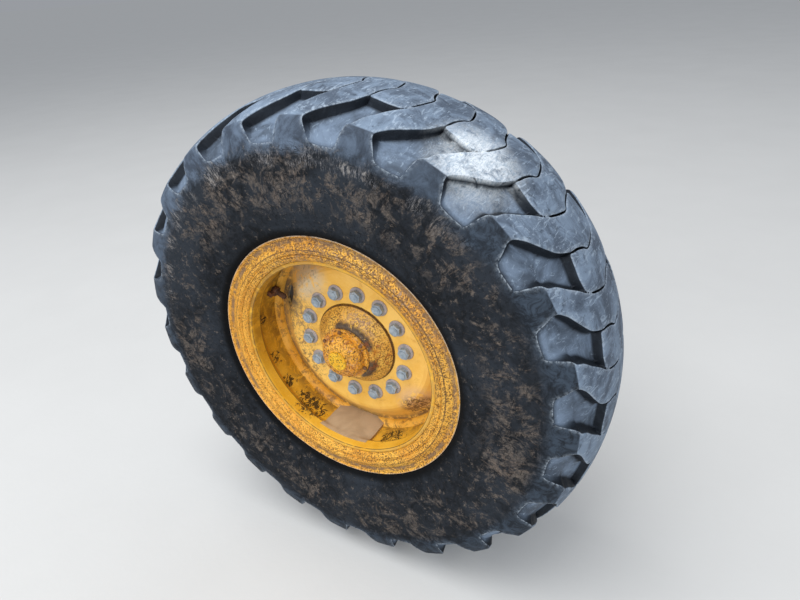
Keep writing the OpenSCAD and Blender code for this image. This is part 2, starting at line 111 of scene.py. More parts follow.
# The skin's arc length, half width, radius, and the direction in which it runs
SKIN_S, SKIN_W, SKIN_R = skin_table()
SLOPE_W, SLOPE_R = (smooth(np.gradient(column, SKIN_S), SLOPE_WINDOW) for column in (SKIN_W, SKIN_R))
SKIN_TW, SKIN_TR = (slope / np.hypot(SLOPE_W, SLOPE_R) for slope in (SLOPE_W, SLOPE_R))


def arc_of(w):
    """Arc length at distance w from the centre plane, both in mm, for places above the widest one."""
    upper = SKIN_S < WIDEST_S
    return math.copysign(np.interp(abs(w), SKIN_W[upper], SKIN_S[upper]), w)


def on_skin(s, depth):
    """Half width (signed) and radius in mm at arc length s and a depth under the skin."""
    size = np.abs(s)
    w, r = np.interp(size, SKIN_S, SKIN_W), np.interp(size, SKIN_S, SKIN_R)
    tw, tr = np.interp(size, SKIN_S, SKIN_TW), np.interp(size, SKIN_S, SKIN_TR)
    return np.sign(s) * (w + tr * depth), r - tw * depth


def wrapped(x, w, r):
    """Points in metres from mm round the tread, distance outboard of the centre plane, and radius."""
    angle = np.radians(FIRST_VOID - x / MM_PER_DEG)
    return np.stack([r * np.cos(angle), 1000 * CENTRE_Y - w, r * np.sin(angle)], axis=1) / 1000


# Lengths in mm from here to the materials
CORNER = arc_of(HALF_TREAD * 1000)      # arc length at the shoulder's corner
MOUTH = arc_of(200.4)                   # the voids run out of the sidewall here
EDGE = MOUTH + 22                       # the tread's mesh ends on the sidewall here
COLUMNS = 12                            # mesh columns in a pitch on the sidewall
BEVEL = 3.0                             # worn round of a lug's edge
FOOT = 14.0                             # concave foot of its wall
EDGE_DROP = 0.05                        # share of a lug's height that is worn off at its edge
FOOT_RISE = 0.16                        # share of a lug's height that its foot takes

# Outline of a lug's worn top with the sidewall under the next mouth, once round.
# Columns: angle from the middle of the void before it (degrees), distance from the centre plane in mm
# (above 0 is the lug's own side), width of the wall outside that edge in mm.
LUG = [(3.7, 200.2, 3), (4.15, 195, 5), (4.6, 189, 6), (4.95, 183, 10), (6.1, 178, 13), (6.73, 158, 13),
       (8.43, 137, 12), (10.32, 107, 10), (11.88, 85, 7), (12.92, 62, 3), (13.62, 36, 2.2), (14.11, 8, 2.2),
       (13.97, -10, 2.2), (13.3, -20, 2.2), (12.5, -50, 2.5), (12.4, -65, 3), (11.9, -80, 9), (16.4, -90, 9),
       (19.0, -88, 5), (20.1, -72, 3), (20.2, -64, 2.5), (20.95, -36, 2.2), (21.44, -8, 2.2), (21.7, 3, 2.2),
       (20.6, 20, 2.2), (19.8, 50, 3), (19.7, 68, 3), (19.22, 85, 4), (18.4, 105, 5), (17.67, 117, 6),
       (15.34, 139, 6), (12.66, 160, 6), (10.91, 180, 6), (10.77, 187, 6), (12.0, 196, 5), (12.85, 200.1, 3),
       (14.4, 200.6, 2.5), (16.05, 200.7, 2.5), (18.5, 200.6, 2.5), (19.35, 200.2, 2.5), (21.0, 201.2, 3),
       (21.0, 203, 3), (2.0, 203, 3), (2.0, 201.2, 3)]

# Depth of the voids under the skin. Columns: arc length, depth. The last row is the step at their mouths.
VOIDS = [(0, 22), (112, 23.5), (160, 29), (CORNER, 30), (CORNER + 16, 24), (MOUTH - 18, 12), (MOUTH, 4.5)]


# Outlines of the lugs

def lug_outline(side, shift):
    """A lug's outline in mm round and across the skin, with its wall widths. shift is in pitches."""
    return np.array([((a + shift * PITCH) * MM_PER_DEG, side * arc_of(w), wall) for a, w, wall in LUG])


def finer(points, step):
    """The same closed outline with a point at least every step mm."""
    out = []
    for p, q in zip(points, np.roll(points, -1, axis=0)):
        count = max(1, round(np.hypot(*(q - p)[:2]) / step))
        out += [p + (q - p) * k / count for k in range(count)]
    return np.array(out)


def rounded(points, reach):
    """The same closed outline with its corners drawn towards their neighbours."""
    pts = finer(points, reach)
    for _ in range(2):
        pts = (np.roll(pts, 1, axis=0) + 2 * pts + np.roll(pts, -1, axis=0)) / 4
    return pts


def grown(points, by):
    """A closed outline moved outward by a distance, either way round."""
    before, after = np.roll(points, 1, axis=0), np.roll(points, -1, axis=0)
    way = after[:, :2] - before[:, :2]
    area = np.sum(points[:, 0] * after[:, 1] - after[:, 0] * points[:, 1])
    turn = 1 if area > 0 else -1
    out = np.stack([way[:, 1], -way[:, 0]], axis=1) / np.hypot(*way.T)[:, None] * turn
    return points[:, :2] + out * by


def lug_distance(xy, outlines):
    """For each point the distance to the lugs joined together, below 0 inside them, and the wall there."""
    best = np.full(len(xy), np.inf)
    wall = np.ones(len(xy))
    for pts in outlines:
        gap = np.full(len(xy), np.inf)
        own = np.ones(len(xy))
        crossings = np.zeros(len(xy), int)
        for p, q in zip(pts, np.roll(pts, -1, axis=0)):
            way = q[:2] - p[:2]
            part = np.clip(((xy - p[:2]) @ way) / (way @ way), 0, 1)
            far = np.hypot(*(xy - p[:2] - part[:, None] * way).T)
            own = np.where(far < gap, p[2] + (q[2] - p[2]) * part, own)
            gap = np.minimum(gap, far)
            spans = (p[1] > xy[:, 1]) != (q[1] > xy[:, 1])
            # A level stretch spans no point, so its rise is never used and only has to differ from 0
            rise = (q[1] - p[1]) or 1
            crossings += spans & (xy[:, 0] < p[0] + (xy[:, 1] - p[1]) / rise * (q[0] - p[0]))
        gap = np.where(crossings % 2 == 1, -gap, gap)
        wall = np.where(gap < best, own, wall)
        best = np.minimum(best, gap)
    return best, wall


def lug_height(gap, wall):
    """Share of a lug's height, 1 on its top and 0 on the floor of the void."""
    top = 1 - EDGE_DROP * np.clip(1 + gap / BEVEL, 0, 1) ** 2
    side = 1 - EDGE_DROP - (1 - EDGE_DROP - FOOT_RISE) * np.clip(gap / wall, 0, 1)
    foot = FOOT_RISE * np.clip(1 - (gap - wall) / FOOT, 0, 1) ** 2
    return np.where(gap <= 0, top, np.where(gap < wall, side, foot))


# Mesh of the tread

LUG_ROUND = 6                           # reach of the rounding at an outline's corners
COVERED = 0.3                           # a lug covers other outlines up to this far outside its own
BORDER_POINTS = 78                      # on each side of the pitch
FOOT_RING = 0.4                         # a ring of loose points lies at this share of the foot
CORNER_ROWS = (-7, -2.5, 2.5, 7)        # rows of loose points beside the shoulder's corner
CORNER_FIRST = 3.5                      # place of their first points, and the step to the next
CORNER_STEP = 6.0
GRID_FIRST = (4, 6)                     # place of the grid's first point in the pitch, and the steps
GRID_STEP = 7.5
ROW_STEP = GRID_STEP * 0.87
SIDE_MARGIN = 2                         # no loose point lies nearer to the sides of the pitch
END_MARGIN = 4                          # or to its ends
CLEAR = 0.8                             # or to an outline
NEAR = 6                                # reach of the finer mesh beside an outline
NEAR_ROOM = 1.6                         # least distance between loose points there
FAR_ROOM = 3.8                          # least distance elsewhere
BIN = 4                                 # size of the bins in which neighbours are looked for
MERGE = 0.01                            # points nearer than this become one


def shown_lines(outlines):
    """The stretches of the outlines that run outside all other lugs."""
    lines = []
    for number, pts in enumerate(outlines):
        others = outlines[:number] + outlines[number + 1:]
        shown = lug_distance(pts[:, :2], others)[0] > COVERED
        line = []
        for p, seen in zip([*pts, pts[0]], [*shown, shown[0]]):
            if seen:
                line.append(p)
            else:
                lines.append(line)
                line = []
        lines.append(line)
    return lines


def loose_points(outlines, width):
    """Points along the bevels and walls, beside the shoulder's corners, and in a grid over the rest."""
    rings = [grown(pts, by) for pts in outlines
             for by in (-BEVEL, pts[:, 2:3], pts[:, 2:3] + FOOT * FOOT_RING)]
    corners = [(x, side * (CORNER + off)) for side in (-1, 1) for off in CORNER_ROWS
               for x in np.arange(CORNER_FIRST, width, CORNER_STEP)]
    rows = np.arange(GRID_FIRST[1] - EDGE, EDGE, ROW_STEP)
    grid = [(x + GRID_STEP / 2 * (row % 2), y) for row, y in enumerate(rows)
            for x in np.arange(GRID_FIRST[0], width, GRID_STEP)]
    points = np.concatenate([*rings, corners, grid])
    x, y = points.T
    return points[(x > SIDE_MARGIN) & (x < width - SIDE_MARGIN) & (np.abs(y) < EDGE - END_MARGIN)]


def spaced(points, outlines):
    """The points that keep their distance from the outlines and from those chosen before them."""
    chosen, bins = [], {}
    for p, gap in zip(points, np.abs(lug_distance(points, outlines)[0])):
        if gap < CLEAR:
            continue
        room = NEAR_ROOM if gap < NEAR else FAR_ROOM
        column, row = int(p[0] // BIN), int(p[1] // BIN)
        near = [q for i in (-1, 0, 1) for j in (-1, 0, 1) for q in bins.get((column + i, row + j), ())]
        if all((q[0] - p[0]) ** 2 + (q[1] - p[1]) ** 2 > room * room for q in near):
            bins.setdefault((column, row), []).append(p)
            chosen.append(p)
    return chosen


def cell_mesh():
    """One pitch of the tread, flat: points in mm round and across the skin, triangles, and for each point
    its distance to the lugs and the width of the wall there."""
    width = PITCH * MM_PER_DEG
    # Each side's lugs that reach into the pitch. The two sides are half a pitch apart.
    outlines = [rounded(lug_outline(side, shift), LUG_ROUND)
                for side, first in ((1, 0), (-1, 0.5)) for shift in np.arange(-3, 2) + first]
    lines = shown_lines(outlines)
    lines += [[(x, y) for y in np.linspace(-EDGE, EDGE, BORDER_POINTS)] for x in (0, width)]
    lines += [[(width * k / COLUMNS, y) for k in range(COLUMNS + 1)] for y in (-EDGE, EDGE)]
    points, edges = [], []
    for line in lines:
        edges += [(len(points) + k, len(points) + k + 1) for k in range(len(line) - 1)]
        points += [Vector(p[:2]) for p in line]
    points += [Vector(p) for p in spaced(loose_points(outlines, width), outlines)]
    xy, _, faces, *_ = geometry.delaunay_2d_cdt(points, edges, [], 0, MERGE)
    xy = np.array([v[:] for v in xy])
    middles = [np.mean(xy[list(f)], axis=0) for f in faces]
    inside = [f for f, (x, y) in zip(faces, middles) if 0 < x < width and abs(y) < EDGE]
    used = sorted({i for f in inside for i in f})
    index = {v: k for k, v in enumerate(used)}
    gap, wall = lug_distance(xy[used], outlines)
    return xy[used], [[index[i] for i in f] for f in inside], gap, wall


# The whole tyre

# Ribs and steps on the sidewall.
# Columns: radius of the middle, half width at half its height, height.
RIBS = [(368, 7, 2.5), (384, 2, 0.8), (398, 1.2, 0.6), (470, 1.2, 0.6), (548, 1.5, 0.9), (556, 2.5, -1.0)]
SIDE_ROWS = 48                          # rows of the mesh from the tread's edge to the flange
RIB_CLEAR = 0.1                         # ribs stay this much narrower than the solid tyre

# Rows of the mesh from the flange round the bead, and then inside to the middle of the lining.
# Columns: half width, radius.
BEAD = [(156, 330), (112, 312), (114, 332), (150, 362)]
LINING = [(168, 372), (160, 420), (156, 480), (152, 560), (118, 596), (60, 608), (0, 610)]

# Shares that every point of the tyre carries for its paint, and how they fade
MARKS = ("top", "edge", "void", "rise")
TOP_END = CORNER + 5                    # the worn tops end here on the shoulder
TOP_FADE = 9
EDGE_REACH = 2.5                        # wear and painted highlight beside a lug's edge
EDGE_FADE = 8                           # the edges' wear and painted highlight end over this length at the mesh's edge
VOID_FADE = 5


def cell_marks(size, gap, height):
    """The shares of worn top, lug edge and void, and the height. size is the arc length on either side."""
    top = height * np.clip((TOP_END - size) / TOP_FADE, 0, 1)
    edge = np.exp(-np.abs(gap) / EDGE_REACH) * np.clip((EDGE - size) / EDGE_FADE, 0, 1)
    return np.stack([top, edge, np.clip(gap / VOID_FADE, 0, 1), height])


def sidewall_rows():
    """Half width and radius of the rows from the tread's edge to the flange, on one side."""
    rows = []
    for s in np.linspace(EDGE, SKIN_S[-1], SIDE_ROWS):
        w, r = on_skin(np.array([s]), np.zeros(1))
        for middle, half, height in RIBS:
            if s > EDGE:
                w = w + height * np.clip(1.5 - np.abs(r - middle) / half, 0, 1)
        rows.append((min(w[0], 1000 * HALF_TYRE - RIB_CLEAR), r[0]))
    return rows


def make_tyre():
    """Points, faces, and the marks of every point by name."""
    xy, faces, gap, wall = cell_mesh()
    height = lug_height(gap, wall)
    size = np.abs(xy[:, 1])
    w, r = on_skin(xy[:, 1], np.interp(size, *zip(*VOIDS)) * (1 - height))
    verts = [wrapped(xy[:, 0] + k * PITCH * MM_PER_DEG, w, r) for k in range(LUGS)]
    polys = [[i + k * len(xy) for i in f] for k in range(LUGS) for f in faces]
    marks = [cell_marks(size, gap, height)] * LUGS
    start = LUGS * len(xy)
    count = LUGS * COLUMNS
    x = np.arange(count) * PITCH * MM_PER_DEG / COLUMNS
    for side in (1, -1):
        for row, (w0, r0) in enumerate(sidewall_rows() + BEAD + LINING):
            verts.append(wrapped(x, np.full(count, side * w0), np.full(count, r0)))
            marks.append(np.zeros((len(MARKS), count)))
            if row:
                for c in range(count):
                    d = (c + 1) % count
                    polys.append([start - count + c, start - count + d, start + d, start + c])
            start += count
    return np.concatenate(verts), polys, dict(zip(MARKS, np.concatenate(marks, axis=1)))


# Pieces

def add_mesh(name, verts, polys, material, **values):
    """An object with that mesh, which has one number at each point for every named attribute."""
    mesh = bpy.data.meshes.new(name)
    mesh.from_pydata(np.asarray(verts).tolist(), [], polys)
    for key, numbers in values.items():
        mesh.attributes.new(key, "FLOAT", "POINT").data.foreach_set("value", np.asarray(numbers, np.float32))
    mesh.materials.append(material)
    thing = bpy.data.objects.new(name, mesh)
    bpy.context.scene.collection.objects.link(thing)
    return thing


def add_piece(name, verts, polys, body, slot, material, sharp, **values):
    """A piece that turns with its body, smooth but for edges of more than sharp degrees."""
    piece = add_mesh(name, verts, polys, material, **values)
    piece.data.polygons.foreach_set("use_smooth", [True] * len(polys))
    piece.data.set_sharp_from_angle(angle=math.radians(sharp))
    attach(piece, body)
    return piece


# Materials

# Places in the wheel that the paints take dirt at. Lengths are in metres, heights outboard of the mounting
# face, and angles in degrees from +X towards +Z.
DISC_H = -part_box("rim_disc")[0][1]
LIP_H = -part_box("rim_base")[0][1]
CAP_H = -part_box("hub_cover")[0][1]      # foot of the hub cap
CREST_R = 0.3205                        # just outside the crest of the side flange
VALLEY_R = 0.3415                       # its valley, inside its rim
BARREL_R = 0.293                        # inside of the barrel
LIP_R = 0.276                           # inside of its lip
SLOPE_START = LIP_H - 0.0553            # the barrel narrows from here to the lip
SLOPE_END = LIP_H - 0.0353
SLOT_ANGLE = 157                        # the disc's slot for the valve
CHALK_HIGHLIGHT_ANGLE = 55                        # a chalky patch on the tread, painted brighter as a highlight

# Groups of black marks on the barrel. Columns: angle, height over the disc, reach, fade.
BARREL_MARKS = [(-126, 0.044, 0.030, 0.045), (-69, 0.035, 0.028, 0.025), (-161, 0.034, 0.008, 0.025),
                (173, 0.042, 0.006, 0.025), (-145, 0.040, 0.012, 0.025)]


def linear(code):
    """Linear colour from a six-digit screen colour."""
    parts = [int(code[k:k + 2], 16) / 255 for k in (0, 2, 4)]
    return tuple(p / 12.92 if p < 0.04045 else ((p + 0.055) / 1.055) ** 2.4 for p in parts)


def polar(r, h, phi):
    """Point at radius r and height h outboard of the mounting face, at the angle phi from +X towards +Z."""
    return Vector((r * math.cos(math.radians(phi)), -h, r * math.sin(math.radians(phi))))


class Nodes:
    """Short calls for the nodes of a material or of the world."""

    def __init__(self, tree):
        self.tree = tree

    def put(self, socket, value):
        """Link a node's output to a socket, or write a number, a vector or a colour there. A colour is a
        six-digit screen colour or a linear triple."""
        if isinstance(value, bpy.types.NodeSocket):
            self.tree.links.new(value, socket)
        elif isinstance(value, str):
            socket.default_value = (*linear(value), 1)
        elif socket.type == "RGBA":
            socket.default_value = (*value, 1)
        else:
            socket.default_value = value

    def node(self, kind, inputs=(), out=0, **settings):
        """One output of a new node. inputs holds values by the names or numbers of its sockets."""
        made = self.tree.nodes.new(kind)
        for key, value in settings.items():
            setattr(made, key, value)
        for key, value in dict(inputs).items():
            self.put(made.inputs[key], value)
        return made.outputs[out]

    def math(self, operation, a, b=0.0):
        return self.node("ShaderNodeMath", {0: a, 1: b}, operation=operation)

    def times(self, *shares):
        """The product of the shares."""
        return reduce(partial(self.math, "MULTIPLY"), shares)

    def either(self, *shares):
        """The greatest of the shares."""
        return reduce(partial(self.math, "MAXIMUM"), shares)

    def rest(self, share):
        """What a share leaves of 1."""
        return self.math("SUBTRACT", 1.0, share)

    def mix(self, under, over, *shares):
        """One colour over another, which it covers by the product of the shares."""
        # The mix node takes its colours in at 6 and 7 and gives one out at 2
        inputs = {0: self.times(*shares), 6: under, 7: over}
        return self.node("ShaderNodeMix", inputs, out=2, data_type="RGBA")


class Paint(Nodes):
    """One procedural material."""

    def __init__(self, name, specular=0.5):
        self.material = bpy.data.materials.new(name)
        self.material.use_nodes = True
        super().__init__(self.material.node_tree)
        self.shader = self.tree.nodes["Principled BSDF"]
        self.put(self.shader.inputs["Specular IOR Level"], specular)
        self.place = self.node("ShaderNodeTexCoord", out="Object")

    def vector(self, operation, a, b=(0, 0, 0), out=0):
        return self.node("ShaderNodeVectorMath", {0: a, 1: b}, out=out, operation=operation)

    def step(self, value, low, high, to=1.0):
        """0 below low and `to` above high, smooth between. low may be above high."""
        return self.node("ShaderNodeMapRange", {0: value, 1: low, 2: high, 3: 0.0, 4: to},
                         interpolation_type="SMOOTHSTEP")

    def band(self, value, middle, half, soft):
        """1 where value is within half of middle, fading to 0 over soft."""
        return self.step(self.math("ABSOLUTE", self.math("SUBTRACT", value, middle)), half + soft, half)

    def noise(self, scale, detail=4.0, rough=0.6, place=None, bend=0.0):
        inputs = {"Vector": place or self.place, "Scale": scale, "Detail": detail, "Roughness": rough,
                  "Distortion": bend}
        return self.node("ShaderNodeTexNoise", inputs)

    def stretched(self, scales):
        """The place, stretched along each axis."""
        return self.vector("MULTIPLY", self.place, scales)

    def flat(self):
        """The place without its share along the axle."""
        return self.stretched((1, 0, 1))

    def radius(self):
        return self.vector("LENGTH", self.flat(), out=1)

    def height(self):
        """Height outboard of the mounting face."""
        return self.times(self.node("ShaderNodeSeparateXYZ", {0: self.place}, out=1), -1.0)

    def spokes(self, around, inward):
        """A place for noise that is drawn out towards the axle, with no seam. The scales are steps per
        radian round the axle and per metre towards it."""
        turn = self.vector("MULTIPLY", self.vector("NORMALIZE", self.flat()), (around, 0, around))
        inward_part = self.times(self.math("SUBTRACT", self.radius(), self.height()), inward)
        return self.vector("ADD", turn, self.node("ShaderNodeCombineXYZ", {1: inward_part}))

    def near(self, point, reach, soft):
        """1 within reach of a point and 0 at soft beyond it."""
        return self.step(self.vector("DISTANCE", self.place, point, out=1), reach + soft, reach)

    def finish(self, colour, rough, bumps, metal=0.0):
        """The finished material. bumps is a list of (height socket, depth in metres)."""
        self.put(self.shader.inputs["Base Color"], colour)
        self.put(self.shader.inputs["Roughness"], rough)
        self.put(self.shader.inputs["Metallic"], metal)
        normal = None
        for height, depth in bumps:
            inputs = {"Height": height, "Distance": depth, "Strength": 1.0}
            if normal:
                inputs["Normal"] = normal
            normal = self.node("ShaderNodeBump", inputs)
        self.put(self.shader.inputs["Normal"], normal)
        return self.material


class Rubber(Paint):
    """The tyre's rubber, with the marks and noises that its coats share."""

    def __init__(self):
        super().__init__("worn_rubber", specular=0.14)
        self.top, self.edge, self.void, self.rise = (
            self.node("ShaderNodeAttribute", attribute_name=mark, out=2) for mark in MARKS)
        self.r = self.radius()
        self.blotch = self.noise(14, 8, 0.74, bend=0.8)
        self.mottle = self.noise(34, 8, 0.76, bend=1.0)
        self.grain = self.noise(130, 6, 0.72)
        self.streak = self.noise(1.0, 7, 0.72, place=self.spokes(46, 22), bend=1.6)
        self.strokes = self.noise(1.0, 6, 0.72, place=self.spokes(130, 50), bend=2.0)
        self.scuff = self.noise(1.0, 7, 0.72, place=self.stretched((90, 20, 90)), bend=1.0)
        # Painted light: 1 near the top of the wheel's front, where the lug ends are painted lit, and 0 far
        # from it, where they are painted in shade; and the radius made uneven
        self.upper = self.near(polar(0.62, 0.45, 112), 0.20, 0.55)
        self.ragged = self.math("ADD", self.r, self.times(self.math("SUBTRACT", self.blotch, 0.5), 0.10))

    def sidewall(self):
        """Near black, with brown patches and spatter, and painted shade, black, beside the flange."""
        base = self.mix("14171b", "23272d", self.step(self.mottle, 0.38, 0.62))
        base = self.mix(base, "2f353d", self.step(self.noise(3.5, 6, 0.65, bend=0.6), 0.46, 0.62, 0.6))
        dusty = self.times(self.band(self.r, 0.500, 0.036, 0.06), self.step(self.blotch, 0.48, 0.58))
        base = self.mix(base, "655d56", dusty, self.step(self.mottle, 0.42, 0.60, 0.75))
        base = self.mix(base, "75675c", dusty, self.step(self.streak, 0.52, 0.60), 0.5)
        spatter = self.step(self.noise(48, 8, 0.8), 0.56, 0.63)
        base = self.mix(base, "7a6f65", spatter, self.step(self.r, 0.58, 0.50), 0.5)
        base = self.mix(base, "0d0f12", self.step(self.grain, 0.55, 0.62), 0.5)
        # Painted shade: the shadow in the gap between the tyre and the flange, painted near black
        return self.mix(base, "050608", self.step(self.r, 0.385, 0.362), 0.95)

    def lug_ends(self, base):
        """Blue grey ends of the lugs, the blue partly a painted sky reflection, paler at the top as painted
        light and darker elsewhere as painted shade, and a ragged ring of scratches under them.
        """
        # Painted light and shade: dark and pale copies of the lug ends, mixed by where the light falls
        dark = self.mix("1c222a", "3a4552", self.step(self.mottle, 0.38, 0.62))
        pale = self.mix("3d4653", "5e6c7e", self.step(self.blotch, 0.38, 0.62))
        base = self.mix(base, self.mix(dark, pale, self.upper), self.step(self.ragged, 0.548, 0.592))
        ring = self.times(self.band(self.ragged, 0.552, 0.010, 0.022), self.step(self.upper, 0.0, 0.5),
                          self.step(self.noise(11, 6, 0.7, bend=0.6), 0.42, 0.58))
        base = self.mix(base, "7f7f83", ring, self.step(self.strokes, 0.50, 0.60), 0.7)
        return self.mix(base, "9a9692", ring, self.step(self.streak, 0.54, 0.60), 0.6)

    def tread(self, base):
        """Pale blue-grey voids and worn tops, partly a painted sky reflection; the walls between them in
        painted shade; and their worn edges, partly a painted highlight.
        """
        # Partly painted reflection: the voids and the worn tops are painted pale blue-grey for the sky's
        # sheen on them, over the rubber's own grey
        hollow_and_sky_sheen = self.mix("46505d", "6f7f93", self.step(self.noise(10, 6, 0.65, bend=0.8), 0.36, 0.62))
        hollow_and_sky_sheen = self.mix(hollow_and_sky_sheen, "93a4b6", self.step(self.scuff, 0.54, 0.66), 0.6)
        base = self.mix(base, hollow_and_sky_sheen, self.void, self.step(self.r, 0.570, 0.580))
        worn = self.mix("4e5968", "7b8ca0", self.step(self.noise(9, 8, 0.72, bend=1.0), 0.36, 0.62))
        worn = self.mix(worn, "9dadbe", self.step(self.scuff, 0.53, 0.63), 0.7)
        worn = self.mix(worn, "2a323d", self.step(self.mottle, 0.56, 0.66), 0.6)
        base = self.mix(base, worn, self.step(self.top, 0.45, 0.9))
        # Painted shade: the lugs' walls, and their feet fading into the voids, painted near black
        wall = self.times(self.step(self.rise, 0.94, 0.86), self.step(self.rise, 0.0, 0.19))
        base = self.mix(base, "0b0f15", wall, self.step(self.r, 0.590, 0.620), 0.92)
        # Partly painted highlight: the lugs' edges are painted pale as lit lips, as well as for their wear
        rubbed_and_highlit = self.times(self.edge, self.step(self.rise, 0.88, 0.97))
        return self.mix(base, "adb9c5", rubbed_and_highlit, self.step(self.grain, 0.40, 0.6, 0.7))

    def chalk_and_highlight(self, base):
        """A chalky patch on one lug and the void beside it, painted brighter as a highlight."""
        # Partly painted highlight: the pale patch stands for chalky wear and for sky light on the upper
        # tread
        patch = self.near(polar(0.66, 0.37, CHALK_HIGHLIGHT_ANGLE), 0.035, 0.10)
        broken = self.times(patch, self.step(self.mottle, 0.30, 0.56))
        raised = self.step(self.either(self.top, self.times(self.void, 0.7)), 0.4, 0.9)
        chalk_and_highlight = self.mix("b4c2ce", "e6ecf0", self.step(self.strokes, 0.40, 0.56))
        return self.mix(base, chalk_and_highlight, broken, raised, 0.85)

    def cracks(self):
        """Fine cracks in patches of the sidewall."""
        cells = self.node("ShaderNodeTexVoronoi", {"Vector": self.spokes(40, 90), "Scale": 1.0},
                          feature="DISTANCE_TO_EDGE")
        patches = self.times(self.step(self.blotch, 0.5, 0.6), self.step(self.r, 0.60, 0.56))
        return self.times(self.step(cells, 0.05, 0.0), patches)


def rubber():
    """The tyre's rubber, its coats one on another."""
    p = Rubber()
    crack = p.cracks()
    base = p.chalk_and_highlight(p.tread(p.lug_ends(p.sidewall())))
    base = p.mix(base, "0b0c0e", crack, 0.8)
    side_rough = p.math("ADD", p.step(p.blotch, 0.2, 0.8, 0.12), 0.80)
    rough = p.math("ADD", p.step(p.r, 0.56, 0.60, -0.25), side_rough)
    return p.finish(base, rough, [(p.mottle, 0.0010), (p.scuff, 0.0003), (p.grain, 0.0006),
                                  (p.rest(crack), 0.0006), (p.noise(650, 3, 0.6), 0.0002)])


def paint(name, main, pale, speckle, mud, chips=0.0):
    """Worn yellow paint: the material, and its colour, roughness and bumps, ready for further coats.
    speckle, mud and chips are shares of the surface, from 0 to 1."""
    p = Paint(name, specular=0.35)
    blotch = p.noise(24, 8, 0.72, bend=0.5)
    speck = p.noise(250, 5, 0.7)
    dirt = p.noise(16, 8, 0.74, bend=0.9)
    base = p.mix(main, pale, p.step(p.noise(6, 6, 0.65, bend=0.5), 0.36, 0.64))
    base = p.mix(base, "c08424", p.step(blotch, 0.52, 0.74, 0.5))
    base = p.mix(base, "f2cf7c", p.step(p.noise(310, 4, 0.7), 0.58, 0.64), 0.3 + 0.4 * speckle)
    dense = p.step(blotch, 0.66 - 0.42 * speckle, 0.82 - 0.42 * speckle)
    rust = p.times(dense, p.step(speck, 0.58 - 0.1 * speckle, 0.63 - 0.1 * speckle))
    base = p.mix(base, "7c5229", rust, 0.85)
    base = p.mix(base, "3a2416", rust, p.step(p.noise(420, 4, 0.7), 0.50, 0.57, 0.9))
    dust = p.step(dirt, 0.68 - 0.26 * mud, 0.80 - 0.26 * mud)
    base = p.mix(base, "93775b", dust, 0.72)
    chip = p.step(p.noise(22, 8, 0.8, bend=1.4), 0.80 - 0.18 * chips, 0.805 - 0.18 * chips)
    base = p.mix(base, "231d19", chip, 0.92)
    rough = p.math("ADD", p.step(p.either(rust, dust), 0.0, 1.0, 0.35), 0.45)
    bumps = [(rust, 0.0004), (p.rest(chip), 0.0003), (dirt, 0.0008), (speck, 0.0004),
             (p.noise(900, 3, 0.6), 0.0001)]
    return p, base, rough, bumps


def flange_paint():
    """The side flanges, the seat band and the lock ring. Mud lies in the valley and at the upper right, and
    the lower left is brighter, with less speckle and a painted highlight.
    """
    p, base, rough, bumps = paint("flange_paint", "df9a31", "f0b646", 0.80, 0.10, 0.1)
    r = p.radius()
    dirt = p.noise(30, 8, 0.75, bend=0.8)
    crumbs = p.noise(120, 8, 0.8)
    muddy = p.times(p.near(polar(0.35, LIP_H, 62), 0.10, 0.36), p.step(crumbs, 0.46, 0.56))
    base = p.mix(base, "80634a", muddy, 0.8)
    base = p.mix(base, "b79a80", muddy, p.step(dirt, 0.54, 0.62), 0.7)
    # Partly painted highlight: less speckle and brighter yellow at the lower left, where the flange is lit
    clean_and_highlit = p.near(polar(0.35, LIP_H, 195), 0.16, 0.25)
    base = p.mix(base, "eca93a", clean_and_highlit, p.step(crumbs, 0.58, 0.44), 0.7)
    base = p.mix(base, "7d654f", p.band(r, VALLEY_R, 0.003, 0.005), p.step(dirt, 0.40, 0.56), 0.85)
    base = p.mix(base, "4d3826", p.band(r, CREST_R, 0.0006, 0.0012), p.step(dirt, 0.38, 0.5), 0.8)
    base = p.mix(base, "c8b7a4", p.step(r, 0.3520, 0.3545), p.step(dirt, 0.36, 0.5, 0.7))
    return p.finish(base, rough, bumps + [(crumbs, 0.0008)])


def barrel_paint():
    """The barrel, with black marks in groups, painted shade behind the disc, at its upper left and at the
    slope's end, and old mud at its foot.
    """
    p, base, rough, bumps = paint("barrel_paint", "d49a1e", "e2ae36", 0.25, 0.20, 0.6)
    h, r = p.height(), p.radius()
    dirt = p.noise(30, 8, 0.75, bend=0.8)
    front = p.step(h, LIP_H - 0.004, LIP_H + 0.002)
    base = p.mix(base, "9c7d55", front, p.step(dirt, 0.40, 0.56), 0.7)
    corner = p.times(p.band(r, LIP_R + 0.0008, 0.0012, 0.0012), p.step(h, LIP_H - 0.004, LIP_H - 0.002))
    base = p.mix(base, "3a2818", corner, p.step(dirt, 0.34, 0.48, 0.85))
    # Painted shade: the barrel behind the disc, painted dark brown-black
    base = p.mix(base, "2b221b", p.step(h, DISC_H - 0.035, DISC_H - 0.045), 0.92)
    base = p.mix(base, "6e4f28", p.step(h, DISC_H + 0.03, DISC_H - 0.01), p.step(dirt, 0.4, 0.56), 0.7)
    # Painted shade: darker orange-brown at the barrel's upper left
    shade = p.near(polar(BARREL_R, DISC_H + 0.03, 150), 0.10, 0.18)
    base = p.mix(base, "7d5415", shade, p.step(dirt, 0.35, 0.6, 0.6))
    groups = p.either(*(p.near(polar(BARREL_R, DISC_H + over, phi), reach, fade)
                        for phi, over, reach, fade in BARREL_MARKS))
    marks = p.noise(1.0, 7, 0.75, place=p.stretched((60, 34, 60)), bend=1.8)
    scraped = p.step(p.math("ADD", marks, p.times(groups, 0.155)), 0.635, 0.655)
    base = p.mix(base, "241c15", scraped, 0.92)
    # Painted shade: a dark line in the crease where the slope meets the lip
    base = p.mix(base, "4a331a", p.band(h, SLOPE_END, 0.0008, 0.0016), 0.9)
    return p.finish(base, rough, bumps + [(p.rest(scraped), 0.0004)])


